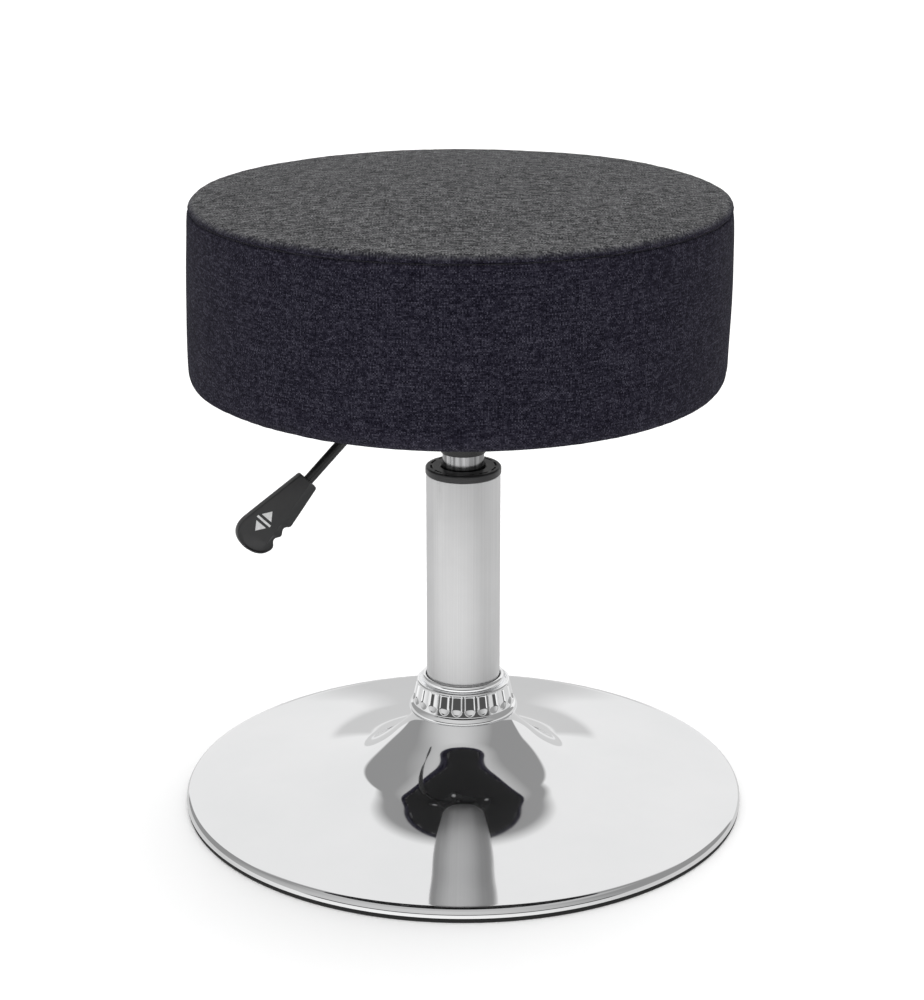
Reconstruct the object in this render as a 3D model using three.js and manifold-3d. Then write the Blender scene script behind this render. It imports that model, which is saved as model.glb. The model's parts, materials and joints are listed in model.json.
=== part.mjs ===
// An adjustable swivel stool: a round upholstered seat on a gas lift, a plated column and a trumpet base.
// Millimetres, +Z up. The origin is the centre of the base on the floor. The seat is at its lowest height.
import * as THREE from "three";
import { mergeVertices } from "three/addons/utils/BufferGeometryUtils.js";
import Module from "manifold-3d";

const wasm = await Module();
wasm.setup();

// ---- Driving dimensions ----
const GAP = 0.3; // between pieces that touch
const FINE = 48; // sides of the large round pieces
const ROUND = 24; // sides of the column's turned pieces
const SMALL = 12; // sides of the fasteners and of what is sealed inside

const BASE_RADIUS = 192.5;
const BASE_SHEET = 1.5;
const RIM_TOP = 9.2;
const RIM_BOTTOM = 3.3;
const RING_HEIGHT = 3;
const NECK_TOP = 71;

const COLUMN_RADIUS = 25;
const COLUMN_WALL = 2;
const COLUMN_BOTTOM = 14;
const COLUMN_TOP = 234.2;
const CAP_RADIUS = 25.5;
const CAP_TOP = 239.2;
const HUB_WALL = 3.5;

const CYLINDER_RADIUS = 14;
const CYLINDER_BORE = 12.2;
const CYLINDER_BOTTOM = 40;
const CYLINDER_SHOULDER = 248.8;
const CYLINDER_TOP = 276.7;
const ROD_RADIUS = 5;
const ROD_END_RADIUS = 4;
const ROD_BOTTOM = 8;
const PISTON_BOTTOM = 190;

const BALLS = 8;
const BALL_RADIUS = 1.6;
const BALL_CIRCLE = 9.5;

const SEAT_RADIUS = 177;
const SEAT_BOTTOM = 298;
const SEAT_SEAM_RADIUS = 176.3;
const SEAT_CROWN = 427;
const CROWN_RISE = 5;
const EDGE_ROLL = 6; // radius of the rolled top edge
const SEAT_SEAM = SEAT_CROWN - CROWN_RISE - EDGE_ROLL;
const SEAT_TURN = 17; // radius of the turned-in lower edge
const HEM_RADIUS = 148; // inner edge of the cover turned in under the seat
const COVER = 1.6; // cover with its lining
const BOARD_RADIUS = 154;
const BOARD_THICKNESS = 12;
const DUST_COVER_RADIUS = 158;

const LEVER_AZIMUTH = 200; // degrees about +Z, from +X
const LEVER_SLOPE = 45; // degrees below level, outside the bend
const LEVER_RADIUS = 3.5;
const LEVER_HEIGHT = 285.2;
const LEVER_BEND = 63.5; // distance of the bend from the stool's axis
const LEVER_BEND_RADIUS = 16;
const HANDLE_START = 108; // distance of the handle's inner end from the stool's axis
const HANDLE_THICKNESS = 13;
const HANDLE_SOCKET = 32; // depth of the handle's bore for the rod
const ROD_IN_HANDLE = 30; // how far the rod enters the handle
const ROD_INNER_END = -5; // the rod's inner end, just past the stool's axis
const PIN_GAP = 0.5; // between the release pin and the rod above it
const PIVOT_OUT = 24; // distance of the lever's pivot from the stool's axis
const PIVOT_HEIGHT = 276.7;
const PIVOT_RADIUS = 2.5;

const PLATE_SIDE = 130;
const PLATE_THICKNESS = 2.5;
const BOLT_SPACING = 100;
const BOLT_RADIUS = 3;

// ---- Heights that follow from them ----
const DUST_COVER_TOP = SEAT_BOTTOM + 0.8;
const HEM_BOTTOM = DUST_COVER_TOP + 0.4;
const BOARD_BOTTOM = HEM_BOTTOM + COVER + GAP;
const BOARD_TOP = BOARD_BOTTOM + BOARD_THICKNESS;
const PLATE_TOP = SEAT_BOTTOM - GAP;
const PLATE_BOTTOM = PLATE_TOP - PLATE_THICKNESS;
const HOUSING_TOP = PLATE_BOTTOM - GAP;
const HOUSING_BOTTOM = HOUSING_TOP - 27;
const COLUMN_BORE = COLUMN_RADIUS - COLUMN_WALL;
const END_PLATE_TOP = COLUMN_BOTTOM + 4;
const LOWER_RACE_TOP = END_PLATE_TOP + 1.8;
const BALL_HEIGHT = LOWER_RACE_TOP + BALL_RADIUS + 0.1;
const UPPER_RACE_BOTTOM = BALL_HEIGHT + BALL_RADIUS + 0.1;
const UPPER_RACE_TOP = UPPER_RACE_BOTTOM + 1.6;
const ROD_SHOULDER_TOP = UPPER_RACE_TOP + 3.3;

// ---- Materials ----
const finish = (color, roughness, metalness) =>
  new THREE.MeshStandardMaterial({ color, roughness, metalness });
const chrome = () => finish(0xd9dbdd, 0.06, 1);
const steel = () => finish(0xb4b5b7, 0.35, 1);
const satinSteel = () => finish(0xc6c7c9, 0.25, 1);
const blackSteel = () => finish(0x17181a, 0.5, 0.3);
const blackPlastic = () => finish(0x1c1c1e, 0.35, 0);
const palePlastic = () => finish(0xe4e2da, 0.5, 0);
const rubber = () => finish(0x141414, 0.85, 0);
const plywood = () => finish(0xb98f5c, 0.75, 0);
const foam = () => finish(0xe9dfa8, 0.95, 0);
const fabric = () => finish(0x34333b, 0.95, 0);
const lining = () => finish(0x121213, 0.95, 0);

// ---- Geometry helpers ----
const radians = THREE.MathUtils.degToRad;

// Turns an outline of [radius, height] points about +Z. It touches the axis at both ends or is closed here.
function turned(outline, sides = ROUND) {
  const points = outline.map(([r, z]) => new THREE.Vector2(r, z));
  const solidCore = points[0].x === 0 && points.at(-1).x === 0;
  if (!solidCore) points.push(points[0].clone());
  if (THREE.ShapeUtils.area(points) < 0) points.reverse();
  return new THREE.LatheGeometry(points, sides).rotateX(Math.PI / 2);
}

const ring = (inner, outer, bottom, top, sides) =>
  turned([[inner, bottom], [outer, bottom], [outer, top], [inner, top]], sides);

const disc = (radius, bottom, top, sides) =>
  turned([[0, bottom], [radius, bottom], [radius, top], [0, top]], sides);

// Points of an arc in the outline's plane, angles in degrees from the +r direction.
function arc(r, z, radius, from, to, steps) {
  const points = [];
  for (let i = 0; i <= steps; i++) {
    const a = radians(from + ((to - from) * i) / steps);
    points.push([r + radius * Math.cos(a), z + radius * Math.sin(a)]);
  }
  return points;
}

// A smooth outline through the given points, as a list of the same kind.
const smooth = (points, steps) =>
  new THREE.SplineCurve(points.map(([r, z]) => new THREE.Vector2(r, z)))
    .getPoints(steps)
    .map((p) => [p.x, p.y]);

// The same outline moved sideways by a sheet's thickness, to the right of the direction of travel.
function offset(points, distance) {
  return points.map((point, i) => {
    const a = points[Math.max(0, i - 1)];
    const b = points[Math.min(points.length - 1, i + 1)];
    const length = Math.hypot(b[0] - a[0], b[1] - a[1]);
    return [
      point[0] + (distance * (b[1] - a[1])) / length,
      point[1] - (distance * (b[0] - a[0])) / length,
    ];
  });
}

// A flat plate of a three.js Shape between two heights.
const plate = (shape, bottom, top, curveSegments = 6) =>
  new THREE.ExtrudeGeometry(shape, {
    depth: top - bottom,
    bevelEnabled: false,
    curveSegments,
  }).translate(0, 0, bottom);

function circle(x, y, radius, sides) {
  const points = [];
  for (let i = 0; i < sides; i++) {
    const a = (2 * Math.PI * i) / sides;
    points.push(new THREE.Vector2(x + radius * Math.cos(a), y + radius * Math.sin(a)));
  }
  return points;
}

const addHole = (shape, x, y, radius, sides = 8) =>
  shape.holes.push(new THREE.Path(circle(x, y, radius, sides)));

const box = (x0, x1, y0, y1, z0, z1) =>
  new THREE.BoxGeometry(x1 - x0, y1 - y0, z1 - z0).translate(
    (x0 + x1) / 2,
    (y0 + y1) / 2,
    (z0 + z1) / 2,
  );

// A cylinder along X or Y with its middle at the given point.
function bar(axis, radius, length, x, y, z, sides = SMALL) {
  const geometry = new THREE.CylinderGeometry(radius, radius, length, sides);
  if (axis === "x") geometry.rotateZ(Math.PI / 2);
  return geometry.translate(x, y, z);
}

function solidOf(geometry) {
  const bare = geometry.index ? geometry.clone() : geometry;
  bare.deleteAttribute("normal");
  bare.deleteAttribute("uv");
  const merged = mergeVertices(bare, 1e-4);
  return new wasm.Manifold(
    new wasm.Mesh({
      numProp: 3,
      vertProperties: merged.attributes.position.array,
      triVerts: new Uint32Array(merged.index.array),
    }),
  );
}

function geometryOf(solid) {
  const mesh = solid.getMesh();
  return new THREE.BufferGeometry()
    .setAttribute("position", new THREE.BufferAttribute(mesh.vertProperties, 3))
    .setIndex(new THREE.BufferAttribute(mesh.triVerts, 1));
}

// The first geometry with the others cut away from it.
const cut = (geometry, ...tools) =>
  geometryOf(tools.reduce((left, tool) => left.subtract(solidOf(tool)), solidOf(geometry)));

const joined = (geometry, ...others) =>
  geometryOf(others.reduce((left, other) => left.add(solidOf(other)), solidOf(geometry)));

const stool = new THREE.Group();

function piece(name, geometry, material, parent = stool) {
  const mesh = new THREE.Mesh(geometry, material);
  mesh.name = name;
  parent.add(mesh);
  return mesh;
}

// ---- Base ----
function base() {
  // The plated sheet flares from the neck to an almost level disc and rolls over at the rim.
  const flare = smooth(
    [
      [31.8, NECK_TOP], [34.5, 60.1], [39, 53.2], [46, 46.2], [55, 38], [63, 31.7], [69, 27.7],
      [75, 24.5], [83, 21.7], [95, 18.5], [115, 14.7], [140, 11.7], [165, 9.7], [BASE_RADIUS - 6, RIM_TOP],
    ],
    16,
  );
  const rim = arc(BASE_RADIUS - 4.6, RIM_TOP - 4.6, 4.6, 60, 0, 2);
  const outside = [...flare, ...rim, [BASE_RADIUS, RIM_BOTTOM]];
  const inside = offset(outside, BASE_SHEET).filter((_, i) => i % 2 === 0 || i > flare.length);
  piece("base_shell", turned([...outside, ...inside.reverse()], FINE), chrome());

  // A rubber ring under the rim, with a rib that locates it inside the rim.
  const ringOuter = BASE_RADIUS - 1.7;
  const rib = BASE_RADIUS - BASE_SHEET - 2;
  piece(
    "base_rubber_ring",
    turned(
      [
        [183, 0], [ringOuter, 0], [ringOuter, RING_HEIGHT],
        [rib, RING_HEIGHT], [rib, RING_HEIGHT + 2], [183, RING_HEIGHT + 2],
      ],
      FINE,
    ),
    rubber(),
  );

  const hubInner = COLUMN_RADIUS + GAP;
  const hubOuter = hubInner + HUB_WALL;
  piece("base_hub_tube", ring(hubInner, hubOuter, 11, 79, ROUND), steel());
  piece("base_support_plate", ring(hubOuter + GAP, 76, 14.5, 17, ROUND), steel());

  // The collar covers the joint of neck and column: a bead, a raised lip, a conical band and a flange.
  piece(
    "trim_collar",
    turned(
      [
        [25.4, 86.5], [25.4, 89.3], [27, 89.3], [29.4, 85], [31.6, 84.8],
        [35, 70], [37.2, 67], [37.2, 64.3], [35, 64.3], [33, 71.4], [31, 79.6], [29.4, 79.6],
      ],
    ),
    chrome(),
  );
}

// ---- Column ----
function column() {
  piece("column_tube", ring(COLUMN_BORE, COLUMN_RADIUS, COLUMN_BOTTOM - 1, COLUMN_TOP, 36), satinSteel());
  const bore = COLUMN_BORE - GAP;
  piece("column_end_plate", ring(ROD_END_RADIUS + 0.6, bore, COLUMN_BOTTOM, END_PLATE_TOP), steel());
  piece("guide_bush", ring(CYLINDER_RADIUS + 0.35, bore, 150, COLUMN_TOP - 0.2), palePlastic());
  piece(
    "column_cap",
    turned(
      [
        [14.8, COLUMN_TOP + GAP], [CAP_RADIUS, COLUMN_TOP + GAP], [CAP_RADIUS, CAP_TOP - 1.2],
        [CAP_RADIUS - 1.2, CAP_TOP], [16, CAP_TOP], [14.8, CAP_TOP - 1],
      ],
      36,
    ),
    blackPlastic(),
  );
}

// ---- Thrust bearing at the foot of the piston rod ----
function bearing() {
  piece("lower_race", ring(5.2, 13, END_PLATE_TOP + 0.2, LOWER_RACE_TOP, SMALL), steel());
  piece("upper_race", ring(ROD_END_RADIUS + 0.3, 13, UPPER_RACE_BOTTOM, UPPER_RACE_TOP, SMALL), steel());

  const cage = new THREE.Shape(circle(0, 0, 12.4, 16));
  addHole(cage, 0, 0, 6.6, 16);
  const places = Array.from({ length: BALLS }, (_, i) => (2 * Math.PI * i) / BALLS);
  for (const a of places)
    addHole(cage, BALL_CIRCLE * Math.cos(a), BALL_CIRCLE * Math.sin(a), BALL_RADIUS + 0.25);
  piece("ball_cage", plate(cage, BALL_HEIGHT - 0.7, BALL_HEIGHT + 0.7), palePlastic());
  places.forEach((a, i) => {
    const ball = piece("bearing_ball_" + (i + 1), new THREE.OctahedronGeometry(BALL_RADIUS, 1), steel());
    ball.position.set(BALL_CIRCLE * Math.cos(a), BALL_CIRCLE * Math.sin(a), BALL_HEIGHT);
  });
}

// ---- Spindle: the piston rod turns with the seat and stays at its height ----
function spindle() {
  const clipBottom = 10.7;
  const clipTop = 12.1;
  const groove = 3.2;
  const pistonTop = PISTON_BOTTOM + 14;
  piece(
    "piston_rod",
    turned([
      [0, ROD_BOTTOM], [ROD_END_RADIUS, ROD_BOTTOM], [ROD_END_RADIUS, clipBottom - GAP],
      [groove, clipBottom - GAP], [groove, clipTop + GAP], [ROD_END_RADIUS, clipTop + GAP],
      [ROD_END_RADIUS, UPPER_RACE_TOP + 0.1], [7, UPPER_RACE_TOP + 0.1], [7, ROD_SHOULDER_TOP],
      [ROD_RADIUS, ROD_SHOULDER_TOP], [ROD_RADIUS, PISTON_BOTTOM - GAP], [3.5, PISTON_BOTTOM - GAP],
      [3.5, pistonTop + 1.5], [0, pistonTop + 1.5],
    ], SMALL),
    steel(),
  );

  // The clip is a ring with a gap, pushed into the groove from the side.
  const clip = new THREE.Shape();
  clip.absarc(0, 0, 7.5, radians(35), radians(325));
  clip.absarc(0, 0, groove + GAP, radians(325), radians(35), true);
  piece("retaining_clip", plate(clip, clipBottom, clipTop), steel());
  piece("rod_washer", ring(ROD_END_RADIUS + GAP, 9, clipTop + 0.4, COLUMN_BOTTOM - GAP, SMALL), steel());
  const bufferBottom = ROD_SHOULDER_TOP + GAP;
  const bufferTop = CYLINDER_BOTTOM - GAP;
  piece("rubber_buffer", ring(ROD_RADIUS + GAP, 11, bufferBottom, bufferTop, SMALL), rubber());

  // The piston has a groove for its seal.
  const sealBottom = PISTON_BOTTOM + 5.5;
  const sealTop = sealBottom + 3;
  piece(
    "piston",
    turned([
      [3.8, PISTON_BOTTOM], [11.6, PISTON_BOTTOM], [11.6, sealBottom - GAP], [10.2, sealBottom - GAP],
      [10.2, sealTop + GAP], [11.6, sealTop + GAP], [11.6, pistonTop], [3.8, pistonTop],
    ], SMALL),
    steel(),
  );
  piece("piston_seal", ring(10.5, 11.8, sealBottom, sealTop, SMALL), rubber());
}

// ---- Gas cylinder: it turns and rises with the seat ----
function gasCylinder() {
  const boreTop = 262.4;
  piece(
    "gas_cylinder",
    turned([
      [CYLINDER_BORE, CYLINDER_BOTTOM], [CYLINDER_RADIUS, CYLINDER_BOTTOM],
      [CYLINDER_RADIUS, CYLINDER_SHOULDER], [13.6, CYLINDER_SHOULDER + 0.4],
      [12.9, CYLINDER_TOP], [4.7, CYLINDER_TOP], [4.7, boreTop], [CYLINDER_BORE, boreTop],
    ]),
    steel(),
  );
  const bore = CYLINDER_BORE - GAP;
  piece("rod_guide", ring(ROD_RADIUS + 0.4, bore, CYLINDER_BOTTOM + 0.5, 52, SMALL), palePlastic());
  piece("rod_seal", ring(ROD_RADIUS + GAP, bore, 52.4, 58.4, SMALL), rubber());
  piece("valve_body", ring(3.4, bore, 224, boreTop - GAP, SMALL), steel());
  const pinTop = LEVER_HEIGHT - LEVER_RADIUS - PIN_GAP;
  piece(
    "release_pin",
    turned([
      [0, 234], [3, 234], [3, 272], [4.2, 272], [4.2, pinTop - 0.8], [3.4, pinTop], [0, pinTop],
    ], SMALL),
    steel(),
  );
  piece(
    "taper_socket",
    turned([
      [14, CYLINDER_SHOULDER + 0.2], [15.2, CYLINDER_SHOULDER + 0.2], [16, 258],
      [16, CYLINDER_TOP], [13.3, CYLINDER_TOP],
    ]),
    blackSteel(),
  );
}

// ---- Plate, housing and lever, laid out with the lever along +X and then turned to its azimuth ----
function mechanism() {
  const group = new THREE.Group();
  group.rotation.z = radians(LEVER_AZIMUTH);
  stool.add(group);
  const boltPlaces = [[1, 1], [-1, 1], [-1, -1], [1, -1]].map(([x, y]) => [
    (x * BOLT_SPACING) / 2,
    (y * BOLT_SPACING) / 2,
  ]);

  const half = PLATE_SIDE / 2;
  const corner = 12;
  const outline = new THREE.Shape()
    .absarc(half - corner, half - corner, corner, 0, Math.PI / 2)
    .absarc(corner - half, half - corner, corner, Math.PI / 2, Math.PI)
    .absarc(corner - half, corner - half, corner, Math.PI, 1.5 * Math.PI)
    .absarc(half - corner, corner - half, corner, 1.5 * Math.PI, 2 * Math.PI);
  for (const [x, y] of boltPlaces) addHole(outline, x, y, BOLT_RADIUS + 0.4);
  piece("seat_plate", plate(outline, PLATE_BOTTOM, PLATE_TOP, 4), blackSteel(), group);

  // The housing is an open-topped pressed pan under the plate. Its end wall has a slot for the lever.
  const wall = 2.5;
  const long = 37;
  const wide = 30;
  const floorTop = HOUSING_BOTTOM + wall;
  const housing = cut(
    box(-long, long, -wide, wide, HOUSING_BOTTOM, HOUSING_TOP),
    box(-long + wall, long - wall, -wide + wall, wide - wall, floorTop, HOUSING_TOP + 1),
    disc(16.3, HOUSING_BOTTOM - 1, floorTop + 1),
    box(long - wall - 1, long + 1, -5.5, 5.5, LEVER_HEIGHT - 6.5, LEVER_HEIGHT + 8),
    bar("y", PIVOT_RADIUS + GAP, 2 * wide + 2, PIVOT_OUT, 0, PIVOT_HEIGHT),
  );
  piece("mechanism_housing", housing, blackSteel(), group);
  const headPlace = wide + GAP + 1;
  piece(
    "pivot_pin",
    joined(
      bar("y", PIVOT_RADIUS, 2 * headPlace, PIVOT_OUT, 0, PIVOT_HEIGHT),
      bar("y", 4, 2, PIVOT_OUT, headPlace, PIVOT_HEIGHT),
      bar("y", 4, 2, PIVOT_OUT, -headPlace, PIVOT_HEIGHT),
    ),
    steel(),
    group,
  );

  // The yoke holds the lever rod and turns on the pivot pin.
  const yoke = cut(
    box(PIVOT_OUT - 6.5, PIVOT_OUT + 6.5, -7, 7, PIVOT_HEIGHT - 4.3, LEVER_HEIGHT + 5),
    bar("x", LEVER_RADIUS + GAP, 20, PIVOT_OUT, 0, LEVER_HEIGHT),
    bar("y", PIVOT_RADIUS + 0.25, 20, PIVOT_OUT, 0, PIVOT_HEIGHT),
  );
  piece("lever_yoke", yoke, blackSteel(), group);

  // The rod runs level from above the release pin to the bend, then down at the slope into the handle.
  const slope = radians(LEVER_SLOPE);
  const away = new THREE.Vector3(Math.cos(slope), 0, -Math.sin(slope));
  const bend = new THREE.Vector3(LEVER_BEND, 0, LEVER_HEIGHT);
  const along = (distance) => bend.clone().addScaledVector(away, distance);
  const setback = LEVER_BEND_RADIUS * Math.tan(slope / 2);
  const handleStart = (HANDLE_START - LEVER_BEND) / Math.cos(slope);
  const rodLength = handleStart + ROD_IN_HANDLE;
  const route = new THREE.CurvePath();
  const bendStart = new THREE.Vector3(LEVER_BEND - setback, 0, LEVER_HEIGHT);
  route.add(new THREE.LineCurve3(new THREE.Vector3(ROD_INNER_END, 0, LEVER_HEIGHT), bendStart));
  route.add(new THREE.QuadraticBezierCurve3(bendStart, bend, along(setback)));
  route.add(new THREE.LineCurve3(along(setback), along(rodLength)));
  const section = new THREE.Shape(circle(0, 0, LEVER_RADIUS, 10));
  const rod = new THREE.ExtrudeGeometry(section, { steps: 16, extrudePath: route });
  piece("lever_rod", rod, blackSteel(), group);

  // The handle is a flat wedge, widening outwards, with two finger scallops on its lower edge.
  const grip = new THREE.Shape();
  grip.moveTo(0, -6.3);
  grip.lineTo(30, -10.6);
  grip.quadraticCurveTo(34.5, -6.6, 39.2, -10.2);
  grip.quadraticCurveTo(44, -6.6, 49, -11);
  grip.quadraticCurveTo(58, -10, 59, -2);
  grip.quadraticCurveTo(60, 15, 46, 15.3);
  grip.lineTo(0, 6.6);
  const bevel = 2;
  const handleGeometry = new THREE.ExtrudeGeometry(grip, {
    depth: HANDLE_THICKNESS - 2 * bevel,
    bevelThickness: bevel,
    bevelSize: 1,
    bevelSegments: 1,
    curveSegments: 3,
  }).translate(0, 0, bevel - HANDLE_THICKNESS / 2);
  const handle = piece(
    "lever_handle",
    cut(handleGeometry, bar("x", LEVER_RADIUS + GAP, 2 * HANDLE_SOCKET, 0, 0, 0)),
    blackPlastic(),
    group,
  );
  const across = new THREE.Vector3(Math.sin(slope), 0, Math.cos(slope));
  const outward = new THREE.Vector3().crossVectors(away, across);
  handle.matrixAutoUpdate = false;
  handle.matrix.makeBasis(away, across, outward).setPosition(along(handleStart));

  // Bolts through the plate and the board into T-nuts.
  const washerTop = PLATE_BOTTOM - 0.2;
  const washerBottom = washerTop - 1.3;
  const headTop = washerBottom - 0.2;
  boltPlaces.forEach(([x, y], i) => {
    const number = i + 1;
    const bolt = turned(
      [
        [0, headTop - 3.6], [3.8, headTop - 3.6], [5.2, headTop - 2.4], [5.2, headTop],
        [BOLT_RADIUS, headTop], [BOLT_RADIUS, BOARD_TOP - 2], [0, BOARD_TOP - 2],
      ],
      SMALL,
    );
    const nut = turned(
      [
        [BOLT_RADIUS + GAP, BOARD_TOP - 9], [4.1, BOARD_TOP - 9], [4.1, BOARD_TOP + 0.2],
        [8.5, BOARD_TOP + 0.2], [8.5, BOARD_TOP + 1.5], [BOLT_RADIUS + GAP, BOARD_TOP + 1.5],
      ],
      SMALL,
    );
    const washer = ring(BOLT_RADIUS + GAP, 6.2, washerBottom, washerTop, SMALL);
    piece("seat_bolt_" + number, bolt.translate(x, y, 0), steel(), group);
    piece("bolt_washer_" + number, washer.translate(x, y, 0), steel(), group);
    piece("t_nut_" + number, nut.translate(x, y, 0), steel(), group);
  });

  const board = new THREE.Shape(circle(0, 0, BOARD_RADIUS, FINE));
  for (const [x, y] of boltPlaces) addHole(board, x, y, 4.5);
  piece("seat_board", plate(board, BOARD_BOTTOM, BOARD_TOP), plywood(), group);
  const lid = new THREE.Shape(circle(0, 0, DUST_COVER_RADIUS, FINE));
  for (const [x, y] of boltPlaces) addHole(lid, x, y, 4.5);
  piece("dust_cover", plate(lid, SEAT_BOTTOM, DUST_COVER_TOP), lining(), group);
}

// ---- Upholstery ----
function upholstery() {
  const turnRadius = SEAT_RADIUS - SEAT_TURN - 0.3;
  const turnHeight = HEM_BOTTOM + SEAT_TURN;
  const sideOutline = (inset) => [
    ...arc(turnRadius, turnHeight, SEAT_TURN - inset, -90, 0, 4),
    [SEAT_RADIUS - inset, 375],
    [SEAT_SEAM_RADIUS + 0.3 - inset, SEAT_SEAM - 0.5],
  ];
  piece(
    "seat_cover_side",
    turned(
      [
        [HEM_RADIUS, HEM_BOTTOM], ...sideOutline(0),
        ...sideOutline(COVER).reverse(), [HEM_RADIUS, HEM_BOTTOM + COVER],
      ],
      FINE,
    ),
    fabric(),
  );

  // The top panel is slightly crowned and rolls over the edge to the seam.
  const topOutline = (inset) => [
    [0, SEAT_CROWN - inset],
    [110, SEAT_CROWN - 0.4 * CROWN_RISE - inset],
    ...arc(SEAT_SEAM_RADIUS - EDGE_ROLL, SEAT_SEAM, EDGE_ROLL - inset, 90, 0, 4),
  ];
  piece("seat_cover_top", turned([...topOutline(0), ...topOutline(COVER).reverse()], FINE), fabric());

  const inset = COVER + 0.5;
  const foamBottom = BOARD_TOP + 2;
  const side = sideOutline(inset).slice(1, -1);
  piece(
    "seat_foam",
    turned(
      [
        [0, foamBottom], [BOARD_RADIUS + 1.2, foamBottom], [BOARD_RADIUS + 1.2, BOARD_BOTTOM + 2],
        ...side, [SEAT_SEAM_RADIUS - inset - 1, SEAT_SEAM - 2],
        ...topOutline(inset).slice(0, -1).reverse(),
      ],
      FINE,
    ),
    foam(),
  );
}

base();
column();
bearing();
spindle();
gasCylinder();
mechanism();
upholstery();

export default stool;
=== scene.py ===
"""The visible stool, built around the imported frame: base and column, gas lift, lever and upholstered seat.

Metres, +Z up, -Y is the front. Every place and size comes from the frame or from the values below.
"""

import json
import math

import bmesh
import bpy
import numpy as np
from mathutils import Matrix, Vector, noise
from mathutils.bvhtree import BVHTree


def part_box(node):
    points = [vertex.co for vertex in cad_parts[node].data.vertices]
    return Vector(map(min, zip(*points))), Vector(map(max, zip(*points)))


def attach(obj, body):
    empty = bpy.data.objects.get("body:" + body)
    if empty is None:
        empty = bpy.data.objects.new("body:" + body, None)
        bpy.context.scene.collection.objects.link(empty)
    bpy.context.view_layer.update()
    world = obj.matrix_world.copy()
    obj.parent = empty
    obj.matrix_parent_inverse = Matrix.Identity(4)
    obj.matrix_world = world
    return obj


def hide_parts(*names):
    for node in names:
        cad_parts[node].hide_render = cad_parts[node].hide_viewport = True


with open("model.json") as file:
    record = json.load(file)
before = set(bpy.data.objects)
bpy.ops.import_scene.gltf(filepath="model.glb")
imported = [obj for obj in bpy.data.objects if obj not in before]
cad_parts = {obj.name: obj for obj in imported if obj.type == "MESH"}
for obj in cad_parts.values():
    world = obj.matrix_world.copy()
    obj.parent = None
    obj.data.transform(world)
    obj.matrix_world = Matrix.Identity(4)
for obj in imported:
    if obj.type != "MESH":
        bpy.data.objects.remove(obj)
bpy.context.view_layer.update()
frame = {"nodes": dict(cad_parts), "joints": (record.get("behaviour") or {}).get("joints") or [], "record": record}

MM = 0.001
TURN = 2 * math.pi
UP = Vector((0, 0, 1))
NODES = frame["nodes"]


def link(obj):
    bpy.context.scene.collection.objects.link(obj)


# -------- camera and lamps

CAMERA_BACK = 1.515
CAMERA_HEIGHT = 0.7215
CAMERA_ASIDE = -0.0009
CAMERA_DOWN = math.radians(18.5)
LENS_MM = 85.5


def make_camera():
    data = bpy.data.cameras.new("camera")
    data.sensor_width = 36
    data.lens = LENS_MM
    data.clip_end = 200
    camera = bpy.data.objects.new("camera", data)
    camera.location = (CAMERA_ASIDE, -CAMERA_BACK, CAMERA_HEIGHT)
    camera.rotation_euler = (math.pi / 2 - CAMERA_DOWN, 0, 0)
    link(camera)
    bpy.context.scene.camera = camera


def make_lamp(name, kind, power):
    """A lamp that lights the scene but isn't seen in the plating."""
    lamp = bpy.data.objects.new(name, bpy.data.lights.new(name, kind))
    lamp.data.energy = power
    lamp.visible_glossy = False
    link(lamp)
    return lamp


# -------- node trees


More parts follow.
